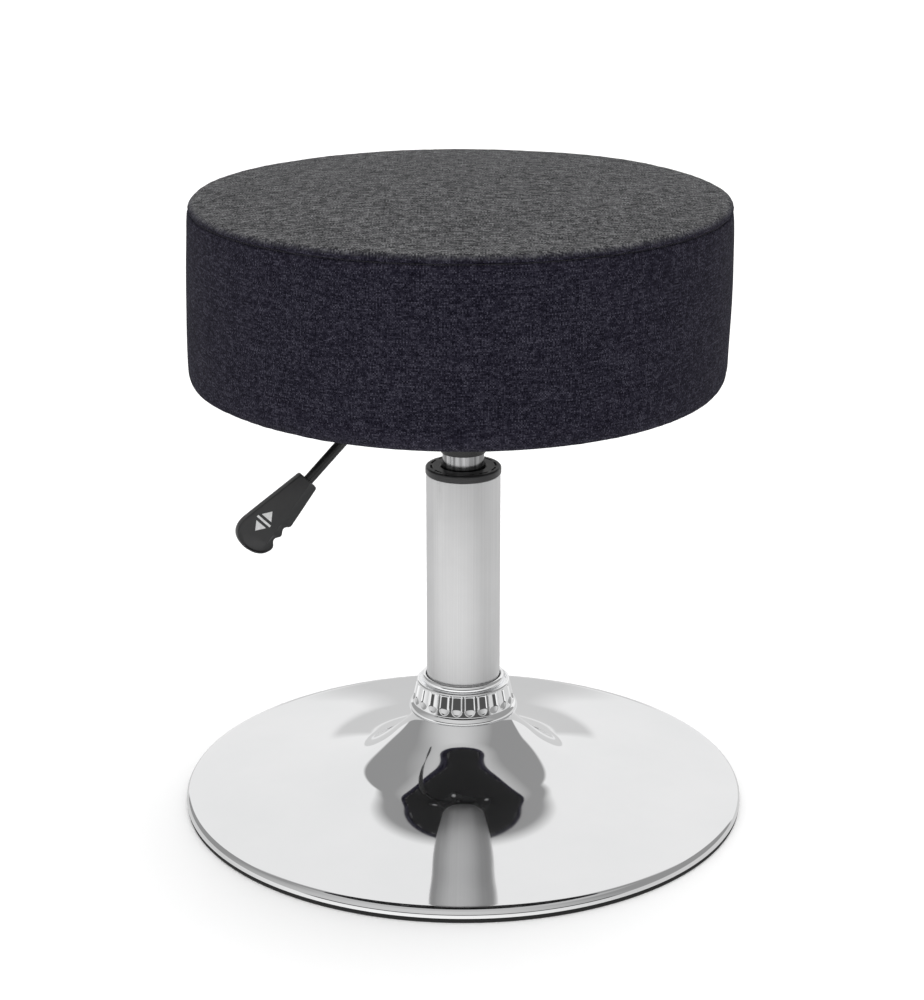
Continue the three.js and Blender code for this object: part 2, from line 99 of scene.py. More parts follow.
class Shader:
    """A material's node tree with short calls for the nodes that these materials use."""

    def __init__(self, name):
        self.material = bpy.data.materials.new(name)
        self.material.use_nodes = True
        self.tree = self.material.node_tree
        self.surface = self.tree.nodes["Principled BSDF"]
        self.place = self.add("TexCoord").outputs["Object"]

    def add(self, kind, *inputs, **settings):
        """Adds a node, with its settings and its first inputs."""
        node = self.tree.nodes.new("ShaderNode" + kind)
        for key, value in settings.items():
            setattr(node, key, value)
        for socket, value in zip(node.inputs, inputs):
            self.put(socket, value)
        return node

    def put(self, socket, value):
        """Links an output to a socket, or sets the socket to a number or colour."""
        if isinstance(value, bpy.types.NodeSocket):
            self.tree.links.new(value, socket)
        else:
            socket.default_value = value

    def fill(self, node, **values):
        """Puts values in named sockets; an underscore in a name stands for a space."""
        for key, value in values.items():
            socket = node.inputs[key.replace("_", " ")]
            self.put(socket, (*value, 1) if isinstance(value, tuple) else value)

    def set(self, **values):
        self.fill(self.surface, **values)

    def math(self, operation, *values):
        return self.add("Math", *values, operation=operation).outputs[0]

    def plus(self, a, b):
        return self.math("ADD", a, b)

    def minus(self, a, b):
        return self.math("SUBTRACT", a, b)

    def times(self, a, b):
        return self.math("MULTIPLY", a, b)

    def radius(self, x, y):
        return self.math("SQRT", self.plus(self.times(x, x), self.times(y, y)))

    def split(self, vector):
        return self.add("SeparateXYZ", vector).outputs

    def join(self, x, y, z):
        return self.add("CombineXYZ", x, y, z).outputs[0]

    def noise(self, vector, scale, detail=2.0, roughness=0.5):
        node = self.add("TexNoise")
        self.fill(node, Vector=vector, Scale=scale, Detail=detail, Roughness=roughness)
        return node.outputs["Fac"]

    def scaled(self, vector, scale):
        return self.add("VectorMath", vector, scale, operation="MULTIPLY").outputs[0]

    def span(self, value, low, high, to_low=0.0, to_high=1.0):
        return self.add("MapRange", value, low, high, to_low, to_high).outputs[0]

    def ramp(self, value, *stops):
        node = self.add("ValToRGB", value)
        elements = node.color_ramp.elements
        while len(elements) < len(stops):
            elements.new(0.5)
        for element, (position, colour) in zip(elements, stops):
            element.position = position
            element.color = (*colour, 1)
        return node.outputs[0]

    def blend(self, factor, a, b, how="MIX"):
        """Mixes two colours that other nodes give."""
        node = self.add("Mix", factor, data_type="RGBA", blend_type=how)
        self.put(node.inputs[6], a)
        self.put(node.inputs[7], b)
        return node.outputs[2]

    def bump(self, height, distance, strength):
        node = self.add("Bump")
        self.fill(node, Strength=strength, Distance=distance, Height=height)
        self.set(Normal=node.outputs[0])


# -------- materials


def mirror_chrome(name, tone=0.85):
    """Bright plating: almost a mirror, with faint haze and a trace of wipe marks."""
    s = Shader(name)
    haze = s.noise(s.place, 9.0, 4.0, 0.6)
    low = (tone - 0.02, tone - 0.015, tone - 0.01)
    high = (tone + 0.02, tone + 0.02, tone + 0.025)
    s.set(Metallic=1.0, Base_Color=s.ramp(haze, (0.3, low), (0.7, high)))
    s.set(Roughness=s.span(haze, 0.3, 0.7, 0.035, 0.06))
    s.bump(s.noise(s.place, 14.0, 1.0), 0.0002, 0.08)
    return s.material


def satin_steel(name):
    """Satin plating on a drawn tube: fine streaks along the tube's length and a little mottling."""
    colour, roughness = (0.80, 0.80, 0.802), 0.36
    s = Shader(name)
    streaks = s.noise(s.scaled(s.place, (900.0, 900.0, 6.0)), 1.0, 2.0)
    mottle = s.noise(s.place, 35.0, 3.0)
    tone = s.plus(s.times(streaks, 0.5), s.times(mottle, 0.5))
    low = tuple(0.94 * c for c in colour)
    high = tuple(1.05 * c for c in colour)
    s.set(Metallic=1.0, Base_Color=s.ramp(tone, (0.35, low), (0.65, high)))
    s.set(Roughness=s.span(tone, 0.3, 0.7, roughness - 0.04, roughness + 0.05))
    s.bump(streaks, 0.00004, 0.35)
    return s.material


def turned_steel(name):
    """Ground or turned steel: fine rings around the axis."""
    s = Shader(name)
    lines = s.noise(s.scaled(s.place, (3.0, 3.0, 2600.0)), 1.0, 2.0)
    dark, bright = (0.46, 0.46, 0.47), (0.62, 0.62, 0.63)
    s.set(Metallic=1.0, Base_Color=s.ramp(lines, (0.3, dark), (0.7, bright)))
    s.set(Roughness=s.span(lines, 0.3, 0.7, 0.2, 0.34))
    s.bump(lines, 0.00005, 0.3)
    return s.material


def hard_chrome(name):
    """Hard-chromed gas cylinder: grey, with fine polishing streaks along its length that carry painted
    reflections, bright and dark.
    """
    s = Shader(name)
    streaks = s.noise(s.scaled(s.place, (190.0, 190.0, 6.0)), 1.0, 3.0, 0.6)
    # Painted reflections: the base colour runs in streaks from near black to bright along the length, for the
    # surroundings mirrored in the cylinder.
    dark, bright = (0.11, 0.11, 0.112), (0.66, 0.66, 0.67)
    s.set(Metallic=1.0, Base_Color=s.ramp(streaks, (0.38, dark), (0.66, bright)))
    s.set(Roughness=s.span(streaks, 0.3, 0.7, 0.10, 0.24))
    s.bump(streaks, 0.00006, 0.5)
    return s.material


def powder_coat(name):
    """Black powder coat with its fine orange-peel texture, rubbed slightly lighter in places."""
    s = Shader(name)
    wear = s.noise(s.place, 60.0, 4.0, 0.6)
    s.set(Base_Color=s.ramp(wear, (0.35, (0.006, 0.006, 0.0065)), (0.75, (0.013, 0.013, 0.0135))))
    s.set(Roughness=s.span(wear, 0.3, 0.7, 0.20, 0.30))
    s.bump(s.noise(s.place, 1500.0, 2.0), 0.00004, 0.4)
    return s.material


def moulded_plastic(name, low=(0.021, 0.021, 0.022), high=(0.034, 0.034, 0.035), roughness=0.42):
    """Moulded plastic with a fine spark-eroded grain and soft gloss variation from handling."""
    s = Shader(name)
    grain = s.noise(s.place, 2600.0, 2.0)
    hand = s.noise(s.place, 45.0, 3.0)
    s.set(Base_Color=s.ramp(hand, (0.3, low), (0.7, high)))
    s.set(Roughness=s.span(hand, 0.3, 0.7, roughness - 0.06, roughness + 0.08))
    s.bump(grain, 0.00004, 0.45)
    return s.material


def rubber(name):
    s = Shader(name)
    dust = s.noise(s.place, 120.0, 4.0, 0.65)
    s.set(Base_Color=s.ramp(dust, (0.35, (0.008, 0.008, 0.008)), (0.8, (0.022, 0.022, 0.021))))
    s.set(Roughness=s.span(dust, 0.3, 0.7, 0.7, 0.9))
    s.bump(dust, 0.0001, 0.3)
    return s.material


def plywood(name):
    """Raw birch plywood: grain along X on the faces and thin plies on the edge."""
    s = Shader(name)
    height = s.split(s.place)[2]
    grain = s.noise(s.scaled(s.place, (12.0, 160.0, 160.0)), 1.0, 4.0, 0.6)
    plies = s.math("PINGPONG", height, 0.0015)
    tone = s.plus(grain, s.times(plies, 120.0))
    s.set(Base_Color=s.ramp(tone, (0.3, (0.42, 0.26, 0.12)), (0.75, (0.62, 0.44, 0.24))))
    s.set(Roughness=0.7)
    s.bump(grain, 0.0002, 0.3)
    return s.material


def open_foam(name):
    s = Shader(name)
    voronoi = s.add("TexVoronoi")
    s.fill(voronoi, Vector=s.place, Scale=900.0)
    cells = voronoi.outputs["Distance"]
    # Painted shade: the colour darkens towards the middle of each cell, in the pits that the bump sinks there.
    inside, wall = (0.5, 0.42, 0.2), (0.8, 0.72, 0.42)
    s.set(Base_Color=s.ramp(cells, (0.0, inside), (0.6, wall)), Roughness=0.95)
    s.bump(cells, 0.0004, 0.6)
    return s.material


def spun_bonded(name):
    """Black spun-bonded cloth: pressed fibres with a small diamond embossing."""
    s = Shader(name)
    x, y, _ = s.split(s.place)
    pitch = 0.0022
    rising = s.math("SINE", s.times(s.plus(x, y), TURN / pitch))
    falling = s.math("SINE", s.times(s.minus(x, y), TURN / pitch))
    emboss = s.times(rising, falling)
    fibres = s.noise(s.place, 1400.0, 3.0, 0.7)
    height = s.plus(s.times(emboss, 0.4), fibres)
    s.set(Base_Color=s.ramp(fibres, (0.35, (0.006, 0.006, 0.0065)), (0.7, (0.017, 0.017, 0.018))))
    s.set(Roughness=0.85)
    s.bump(height, 0.00015, 0.6)
    return s.material


THREAD = 0.00095  # pitch of the weave
# Dark, middle and light thread colours, and where they stand on the tone's scale.
# The top's colours are paler and greyer than the side's for the same cloth: painted light from above and painted
# sheen.
SIDE_STOPS, TOP_STOPS = (0.385, 0.50, 0.66), (0.39, 0.50, 0.63)
SIDE_TONES = (0.0062, 0.0054, 0.0114), (0.0196, 0.0180, 0.0300), (0.066, 0.063, 0.086)
TOP_TONES = (0.0245, 0.0245, 0.0262), (0.0775, 0.0775, 0.0805), (0.200, 0.200, 0.204)


def linen(name, top_panel):
    """Dark melange weave. Each thread's tone changes along it, so light slubs run both ways.

    The threads run around the seat and up it. On the crown of the top panel they run along X and Y,
    and the cloth is painted paler there, down to the middle of the rolled edge: painted light from above.
    """
    s = Shader(name)
    x, y, z = s.split(s.place)
    angle = s.math("ARCTAN2", x, s.times(y, -1.0))
    height, tone = weave(s, s.times(angle, SEAT_RADIUS), z, 420.0, 0.05, 520.0)
    colour = s.ramp(tone, *zip(SIDE_STOPS, SIDE_TONES))
    if top_panel:
        centred = s.plus(x, ASIDE)
        radius = s.radius(centred, y)
        edge = s.minus(radius, SEAM_RADIUS - EDGE_ROLL)
        above = s.minus(z, SEAM_HEIGHT)
        turned = s.math("DIVIDE", s.minus(above, edge), EDGE_ROLL)
        # Painted light: from the middle of the rolled edge up, the cloth takes the paler top colours for the light
        # that falls from above.
        painted_top_light = s.span(turned, -0.55, 0.55)
        top_height, top_tone = weave(s, x, y, 300.0, 0.36, 330.0)
        colour = s.blend(painted_top_light, colour, s.ramp(top_tone, *zip(TOP_STOPS, TOP_TONES)))
        height = s.span(painted_top_light, 0.0, 1.0, height, top_height)
        tone = s.span(painted_top_light, 0.0, 1.0, tone, top_tone)
    # Painted shade: the colour is darkened in the valleys between the threads.
    valley = s.span(height, 0.0, 0.6, 0.45, 1.0)
    shaded = s.blend(1.0, colour, s.join(valley, valley, valley), "MULTIPLY")
    s.set(Base_Color=shaded, Roughness=0.95, Sheen_Weight=0.02, Sheen_Roughness=0.40)
    s.set(Sheen_Tint=(0.80, 0.80, 0.78), Specular_IOR_Level=0.06)
    s.bump(s.plus(height, s.times(tone, 0.9)), 0.00025, 0.8)
    return s.material


def weave(s, u, v, fineness, cluster, cluster_scale):
    """Height and tone of a plain weave whose threads run along u and v."""
    short_share, slub_share = 0.74, 0.26
    clouds = 0.05

    def threads(across, along, pace, contrast, seed):
        """Number, rounded height and tone of one set of threads. The tone changes along a thread."""
        place = s.math("DIVIDE", across, THREAD)
        index = s.math("FLOOR", place)
        phase = s.math("FRACT", place)
        height = s.math("SINE", s.times(phase, math.pi))
        lane = s.join(s.times(along, pace), s.times(index, 3.7), seed)
        short = s.noise(lane, 1.0, 1.0, 0.6)
        slow = s.join(s.times(along, 45.0), s.times(index, 5.3), seed + 5.0)
        slub = s.noise(slow, 1.0, 1.0)
        tone = s.plus(s.times(short, short_share), s.times(slub, slub_share))
        return index, height, s.math("MULTIPLY_ADD", s.minus(tone, 0.5), contrast, 0.5)

    row, row_height, row_tone = threads(v, u, 0.6 * fineness, 1.15, 1.0)
    column, column_height, column_tone = threads(u, v, fineness, 0.75, 9.0)
    over = s.math("MODULO", s.math("ABSOLUTE", s.plus(row, column)), 2.0)
    height = s.span(over, 0.0, 1.0, row_height, column_height)
    tone = s.span(over, 0.0, 1.0, row_tone, column_tone)
    clusters = s.noise(s.scaled(s.place, (0.6, 1.0, 1.0)), cluster_scale, 2.0, 0.6)
    cloudy = s.noise(s.place, 60.0, 2.0, 0.5)
    tone = s.plus(tone, s.times(s.minus(clusters, 0.5), cluster))
    return height, s.plus(tone, s.times(s.minus(cloudy, 0.5), clouds))


def plain(name, colour, roughness):
    """A printed or plain dyed surface with slight unevenness."""
    s = Shader(name)
    uneven = s.noise(s.place, 700.0, 3.0)
    s.set(Base_Color=s.ramp(uneven, (0.3, tuple(0.85 * c for c in colour)), (0.7, colour)))
    s.set(Roughness=roughness)
    s.bump(uneven, 0.00003, 0.3)
    return s.material


# -------- mesh helpers


def spline(points, count):
    """A smooth curve with continuous curvature through the points, sampled evenly along its length."""
    p = np.array(points, float)
    knots = lengths_along(p)
    n = len(p)
    h = np.diff(knots)
    system = np.zeros((n, n))
    right = np.zeros((n, p.shape[1]))
    system[0, 0] = system[-1, -1] = 1
    for i in range(1, n - 1):
        system[i, i - 1 : i + 2] = h[i - 1], 2 * (h[i - 1] + h[i]), h[i]
        right[i] = 6 * ((p[i + 1] - p[i]) / h[i] - (p[i] - p[i - 1]) / h[i - 1])
    m = np.linalg.solve(system, right)
    out = []
    for t in np.linspace(0, knots[-1], count):
        i = min(np.searchsorted(knots, t, "right") - 1, n - 2)
        a, b = knots[i + 1] - t, t - knots[i]
        out.append(
            (m[i] * a**3 + m[i + 1] * b**3) / (6 * h[i])
            + (p[i] / h[i] - m[i] * h[i] / 6) * a
            + (p[i + 1] / h[i] - m[i + 1] * h[i] / 6) * b
        )
    return [tuple(q) for q in out]


def arc(r, z, radius, start, stop, steps):
    """Points of an arc in an outline's plane, angles in degrees from the +r direction."""
    angles = np.radians(np.linspace(start, stop, steps + 1))
    return [(r + radius * math.cos(a), z + radius * math.sin(a)) for a in angles]


def offset(points, distance):
    """The outline moved to the right of its direction of travel."""
    p = np.array(points, float)
    along = np.gradient(p, axis=0)
    along /= np.linalg.norm(along, axis=1)[:, None]
    return [tuple(q) for q in p + distance * np.stack([along[:, 1], -along[:, 0]], 1)]


def rounded(points, radius, steps=3):
    """A closed outline with each corner rounded by the radius, or less where an edge is short."""
    out = []
    count = len(points)
    for i, corner in enumerate(points):
        here, before, after = (Vector(points[j % count]) for j in (i, i - 1, i + 1))
        a, b = before - here, after - here
        reach = min(radius, 0.45 * a.length, 0.45 * b.length)
        p, q = here + reach * a.normalized(), here + reach * b.normalized()
        out += [tuple(bend(p, here, q, k / steps)) for k in range(steps + 1)]
    return out


def write_smooth(bm, mesh, sharp, material):
    """Writes a bmesh to a mesh, smooth-shaded but for the edges over the angle, in one material."""
    for face in bm.faces:
        face.smooth = True
    for edge in bm.edges:
        if len(edge.link_faces) == 2:
            edge.smooth = edge.calc_face_angle(0) < math.radians(sharp)
    bm.to_mesh(mesh)
    bm.free()
    mesh.materials.clear()
    mesh.materials.append(material)


def object_of(bm, name, material, sharp=35):
    bmesh.ops.remove_doubles(bm, verts=bm.verts, dist=1e-7)
    bmesh.ops.recalc_face_normals(bm, faces=bm.faces)
    mesh = bpy.data.meshes.new(name)
    write_smooth(bm, mesh, sharp, material)
    obj = bpy.data.objects.new(name, mesh)
    link(obj)
    return obj


def lofted(bm, rings, closed_ends=False):
    """Adds the quads between rings of equally many points. A ring may be one repeated point."""
    rows = [[bm.verts.new(p) for p in ring] for ring in rings]
    count = len(rows[0])
    pairs = list(zip(rows, rows[1:]))
    if closed_ends:
        pairs.append((rows[-1], rows[0]))
    for a, b in pairs:
        for i in range(count):
            j = (i + 1) % count
            bm.faces.new((a[i], a[j], b[j], b[i]))
    return rows


def revolved(name, outline, material, segments=128, sharp=35):
    """Turns a closed outline of (radius, height) about Z."""
    bm = bmesh.new()
    angles = [TURN * i / segments for i in range(segments)]
    rings = [[(r * math.cos(a), r * math.sin(a), z) for a in angles] for r, z in outline]
    lofted(bm, rings, closed_ends=outline[0][0] > 0 or outline[-1][0] > 0)
    return object_of(bm, name, material, sharp)


def swept(bm, path, radius, sides=20):
    """Adds a round bar along a path, with flat ends."""
    points = [Vector(p) for p in path]
    rings = []
    side = None
    for i, point in enumerate(points):
        along = (points[min(i + 1, len(points) - 1)] - points[max(i - 1, 0)]).normalized()
        if side is None:
            side = along.orthogonal().normalized()
        side = (side - side.dot(along) * along).normalized()
        up = along.cross(side)
        turns = [TURN * k / sides for k in range(sides)]
        rings.append([point + radius * (math.cos(t) * side + math.sin(t) * up) for t in turns])
    rows = lofted(bm, rings)
    bm.faces.new(rows[0])
    bm.faces.new(rows[-1])


def settle(obj, body, slot, *replaced):
    """Ties a piece to its body and hides the frame nodes it stands for. The slot is not used."""
    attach(obj, body)
    if replaced:
        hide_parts(*replaced)


def tree_of(mesh):
    return BVHTree.FromPolygons([v.co for v in mesh.vertices], [p.vertices for p in mesh.polygons])


def modify(obj, kind, **settings):
    """Puts a modifier on an object and applies it."""
    modifier = obj.modifiers.new(kind, kind)
    for key, value in settings.items():
        setattr(modifier, key, value)
    bpy.context.view_layer.update()
    result = obj.evaluated_get(bpy.context.evaluated_depsgraph_get())
    mesh = bpy.data.meshes.new_from_object(result)
    obj.modifiers.clear()
    obj.data = mesh


def lengths_along(points):
    """Distance from the first point, along the points."""
    return np.concatenate([[0], np.cumsum(np.linalg.norm(np.diff(np.array(points), axis=0), axis=1))])


def bend(a, b, c, t):
    """A point of the curve from a to c that b draws to itself."""
    return (1 - t) ** 2 * a + 2 * t * (1 - t) * b + t * t * c


# -------- sizes taken from the frame


def top(node):
    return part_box(node)[1].z


def bottom(node):
    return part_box(node)[0].z


def reach(node):
    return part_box(node)[1].x


BASE_RADIUS = reach("base_shell")
NECK_TOP = top("base_shell")
RIM_BOTTOM = bottom("base_shell")
SEAT_RADIUS = reach("seat_cover_side")
SEAM_RADIUS = reach("seat_cover_top")
SEAM_HEIGHT = bottom("seat_cover_top")
CROWN = top("seat_cover_top")
HEM = bottom("seat_cover_side")
ASIDE = 2 * MM  # how far the stuffing sits to the left of the axis
CROWN_RISE = 5 * MM
EDGE_ROLL = CROWN - CROWN_RISE - SEAM_HEIGHT

MATERIALS = {
    "chrome": mirror_chrome("chrome"),
    "bright_chrome": mirror_chrome("bright_chrome", 0.96),
    "satin_steel": satin_steel("satin_steel"),
    "steel": turned_steel("steel"),
    "black_steel": powder_coat("black_steel"),
    "black_plastic": moulded_plastic("black_plastic"),
    "pale_plastic": moulded_plastic("pale_plastic", (0.6, 0.58, 0.5), (0.72, 0.7, 0.62), 0.5),
    "rubber": rubber("rubber"),
    "plywood": plywood("plywood"),
    "foam": open_foam("foam"),
    "lining": spun_bonded("lining"),
    "fabric_side": linen("fabric_side", False),
    "fabric_top": linen("fabric_top", True),
    "hard_chrome": hard_chrome("hard_chrome"),
    "gloss_plastic": moulded_plastic("gloss_plastic", (0.024, 0.024, 0.025), (0.040, 0.040, 0.041), 0.34),
    "thread": plain("thread", (0.02, 0.019, 0.026), 0.8),
    "print": plain("print", (0.78, 0.78, 0.78), 0.6),
}


# -------- base


def make_base():
    rim, sheet, rim_top = 4.6 * MM, 1.5 * MM, 9.2 * MM
    flare = spline(
        [
            (0.0318, NECK_TOP), (0.0345, 0.0601), (0.0390, 0.0532), (0.0460, 0.0462),
            (0.0550, 0.0380), (0.0630, 0.0317), (0.0690, 0.0277), (0.0750, 0.0245),
            (0.0830, 0.0217), (0.0950, 0.0185), (0.1150, 0.0147), (0.1400, 0.0117),
            (0.1650, 0.0097), (BASE_RADIUS - 6 * MM, rim_top),
        ],
        150,
    )
    edge = arc(BASE_RADIUS - rim, rim_top - rim, rim, 66, 0, 10)
    outside = flare + edge + [(BASE_RADIUS, RIM_BOTTOM)]
    inside = offset(outside, sheet)
    shell = revolved("base_plated_shell", outside + inside[::-1], MATERIALS["chrome"], 256)
    settle(shell, "base", "chrome", "base_shell")

    # The rubber ring bulges out a little under the load, and its rib locates it inside the rim.
    wide, high = reach("base_rubber_ring"), top("base_rubber_ring")
    outer, inner, height = wide + 1.3 * MM, wide - 7.8 * MM, 3 * MM
    rib = BASE_RADIUS - sheet - 2 * MM
    outline = rounded(
        [(inner, 0), (outer, 0), (outer, height), (rib, height), (rib, high), (inner, high)], 0.8 * MM
    )
    ring = revolved("base_ring", outline, MATERIALS["rubber"], 256)
    settle(ring, "base", "rubber", "base_rubber_ring")


FLUTES = 24
FLUTE_STEPS = 24  # points across one flute
BAND_ROWS = 44


def make_collar():
    """The plated trim ring: a bead around the tube, a raised lip and a conical band of flutes."""
    band_top, band_bottom = np.array((0.0320, 0.0842)), np.array((0.0350, 0.0700))
    above = spline(
        [
            (0.0254, 0.0880), (0.0258, 0.0894), (0.0268, 0.0898), (0.0278, 0.0889),
            (0.0283, 0.0868), (0.0285, 0.0845), (0.0289, 0.0833), (0.0295, 0.0837),
            (0.0299, 0.0850), (0.0306, 0.0859), (0.0314, 0.0856), band_top,
        ],
        44,
    )
    band = [tuple(band_top + (band_bottom - band_top) * i / BAND_ROWS) for i in range(1, BAND_ROWS)]
    flange = [band_bottom, (0.0361, 0.0690), (0.0370, 0.0672), (0.0372, 0.0655), (0.0368, 0.0644)]
    below = spline(flange, 14)
    hidden = [(0.0352, 0.0643), (0.0332, 0.0714), (0.0312, 0.0796), (0.0254, 0.0800)]
    outline = above + band + below + hidden
    first, last = len(above), len(above) + len(band)
    # A flute takes up this share of its place's width. Down the band it is full to the first share
    # and closes in an arch over the second.
    share, straight, arch = 0.80, 0.62, 0.30
    depth, lead_in = 1.5 * MM, 0.05
    segments = FLUTES * FLUTE_STEPS
    bm = bmesh.new()
    rings = []
    for i, (r, z) in enumerate(outline):
        ring = []
        for k in range(segments):
            a = TURN * k / segments
            cut = 0.0
            if first <= i < last:
                across = 2 * ((k / FLUTE_STEPS) % 1) - 1
                down = (i - first + 1) / BAND_ROWS
                away = math.hypot(across / share, max(0.0, (down - straight) / arch))
                cut = depth * min(1.0, down / lead_in) * math.sqrt(max(0.0, 1 - away**2))
            ring.append(((r - cut) * math.cos(a), (r - cut) * math.sin(a), z))
        rings.append(ring)
    lofted(bm, rings, closed_ends=True)
    collar = object_of(bm, "column_trim_collar", MATERIALS["bright_chrome"], 50)
    settle(collar, "base", "chrome", "trim_collar")


# -------- column and gas lift


def hollow(inner, outer, low, high, corner):
    """The closed outline of a tube or washer with rounded corners."""
    return rounded([(inner, low), (outer, low), (outer, high), (inner, high)], corner)


def make_column():
    outer, wall = reach("column_tube"), 2 * MM
    outline = hollow(outer - wall, outer, bottom("column_tube"), top("column_tube"), 0.4 * MM)
    tube = revolved("column_outer_tube", outline, MATERIALS["satin_steel"], 160)
    settle(tube, "base", "satin_steel", "column_tube")
    make_cap()
    make_cylinder()


def make_cap():
    """The cap's upper face carries a ring of short arc slots."""
    outer, low, high = reach("column_cap"), bottom("column_cap"), top("column_cap")
    hole, corner, chamfer = 14.8 * MM, 1.3 * MM, 0.3 * MM
    slots, slot_share, steps = 12, 0.62, 24
    slot_depth = 1.2 * MM
    wall = [(hole, low), (outer - chamfer, low), (outer, low + chamfer)]
    wall += arc(outer - corner, high - corner, corner, 0, 90, 6)
    face = [0.0230, 0.0224, 0.0223, 0.0212, 0.0211, 0.0195, 0.0175, 0.0158]
    mouth = [(0.0150, high - 0.8 * MM), (hole, high - 1.2 * MM)]
    outline = wall + [(r, high) for r in face] + mouth
    sunk = {len(wall) + 2, len(wall) + 3}  # the slots' floor, between the face's third and fourth radius
    bm = bmesh.new()
    rings = []
    for i, (r, z) in enumerate(outline):
        ring = []
        for k in range(slots * steps):
            a = TURN * k / (slots * steps)
            in_slot = i in sunk and (k % steps) < slot_share * steps
            ring.append((r * math.cos(a), r * math.sin(a), z - (slot_depth if in_slot else 0)))
        rings.append(ring)
    lofted(bm, rings, closed_ends=True)
    cap = object_of(bm, "column_top_cap", MATERIALS["gloss_plastic"], 30)
    settle(cap, "base", "black_plastic", "column_cap")


def make_cylinder():
    """The gas cylinder, with its neck tapered into the socket under the seat, and that socket."""
    radius, low, high = reach("gas_cylinder"), bottom("gas_cylinder"), top("gas_cylinder")
    shoulder, ceiling = bottom("taper_socket"), top("taper_socket")
    bore, pin, cover = 12.2 * MM, 4.7 * MM, 14 * MM
    outline = [
        (bore, low), (radius - 0.5 * MM, low), (radius, low + 0.5 * MM),
        (radius, shoulder - 0.2 * MM), (13.6 * MM, shoulder + 0.2 * MM),
        (12.9 * MM, high - 0.4 * MM), (12.5 * MM, high), (pin, high),
        (pin, high - cover), (bore, high - cover),
    ]
    cylinder = revolved("gas_lift_cylinder", outline, MATERIALS["hard_chrome"], 128)
    settle(cylinder, "seat", "steel", "gas_cylinder")

    outline = [
        (14.0 * MM, shoulder), (15.2 * MM, shoulder), (16.0 * MM, shoulder + 9 * MM),
        (16.0 * MM, ceiling), (13.3 * MM, ceiling),
    ]
    socket = revolved("socket", rounded(outline, 0.5 * MM), MATERIALS["black_steel"], 96)
    settle(socket, "seat", "black_steel", "taper_socket")


# -------- mechanism and fasteners


def bevelled(node, name, slot, body, width):
    """A copy of a frame node with its edges broken by a small round."""
    obj = bpy.data.objects.new(name, NODES[node].data.copy())
    link(obj)
    only_edges = {"limit_method": "ANGLE", "angle_limit": math.radians(40)}
    modify(obj, "BEVEL", width=width, segments=3, use_clamp_overlap=True, **only_edges)
    obj.data.materials.clear()
    obj.data.materials.append(MATERIALS[slot])
    settle(obj, body, slot, node)


def make_mechanism():
    bevelled("seat_plate", "mounting_plate", "black_steel", "seat", 0.5 * MM)
    bevelled("mechanism_housing", "lift_housing", "black_steel", "seat", 0.8 * MM)
    bevelled("lever_yoke", "yoke", "black_steel", "lever", 0.3 * MM)
    for number in range(1, 5):
        make_bolt(number)
        make_washer(number)
    make_staples()


def put_at(obj, node):
    """Moves a piece made on the axis to where the node stands."""
    low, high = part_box(node)
    obj.data.transform(Matrix.Translation(((low.x + high.x) / 2, (low.y + high.y) / 2, 0)))


def make_bolt(number):
    """A button-head bolt, head down, with a six-sided socket."""
    node = "seat_bolt_%d" % number
    low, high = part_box(node)
    head, shank, socket = (high.x - low.x) / 2, 3.0 * MM, 1.75 * MM
    rise, depth, tall = 1.6 * MM, 1.9 * MM, 3.6 * MM
    lip, tip = 0.25 * MM, 0.6 * MM
    bend_angles = [math.radians(t) for t in range(30, 91, 10)]
    sunk = [(0.0, depth), (socket, depth), (socket, lip), (1.12 * socket, 0.0)]
    dome = [(head * math.sin(t), rise * (1 - math.cos(t))) for t in bend_angles]
    end = high.z - low.z
    upper = [(head, tall), (shank, tall), (shank, end - tip), (shank - tip, end), (0.0, end)]
    rings = []
    for i, (r, z) in enumerate(sunk + dome + upper):
        six_sided = 0 < i < len(sunk)
        ring = []
        for k in range(48):
            a = TURN * k / 48
            wide = r / math.cos((a + TURN / 12) % (TURN / 6) - TURN / 12) if six_sided else r
            ring.append((wide * math.cos(a), wide * math.sin(a), low.z + z))
        rings.append(ring)
    bm = bmesh.new()
    lofted(bm, rings)
    bolt = object_of(bm, "plate_bolt_%d" % number, MATERIALS["steel"], 30)
    put_at(bolt, node)
    settle(bolt, "seat", "steel", node)


def make_washer(number):
    node = "bolt_washer_%d" % number
    low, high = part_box(node)
    outline = hollow(3.3 * MM, (high.x - low.x) / 2, low.z, high.z, 0.3 * MM)
    washer = revolved("plate_washer_%d" % number, outline, MATERIALS["steel"], 48)
    put_at(washer, node)
    settle(washer, "seat", "steel", node)


def make_staples():
    """Wire staples that hold the lining and the cover's hem to the board."""
    count, crown, wire = 36, 10 * MM, 0.35 * MM
    radius, height = reach("dust_cover") - 3.5 * MM, bottom("dust_cover")
    bm = bmesh.new()
    for k in range(count):
        a = TURN * (k + 0.5) / count
        out = Vector((math.cos(a), math.sin(a), 0))
        along = Vector((-out.y, out.x, 0)) * crown / 2
        middle = out * radius + UP * (height - 0.15 * MM)
        left, right, leg = middle - along, middle + along, UP * MM
        swept(bm, [left + leg, left, right, right + leg], wire, 6)
    settle(object_of(bm, "lining_staples", MATERIALS["steel"], 40), "seat", "steel")


# -------- lever

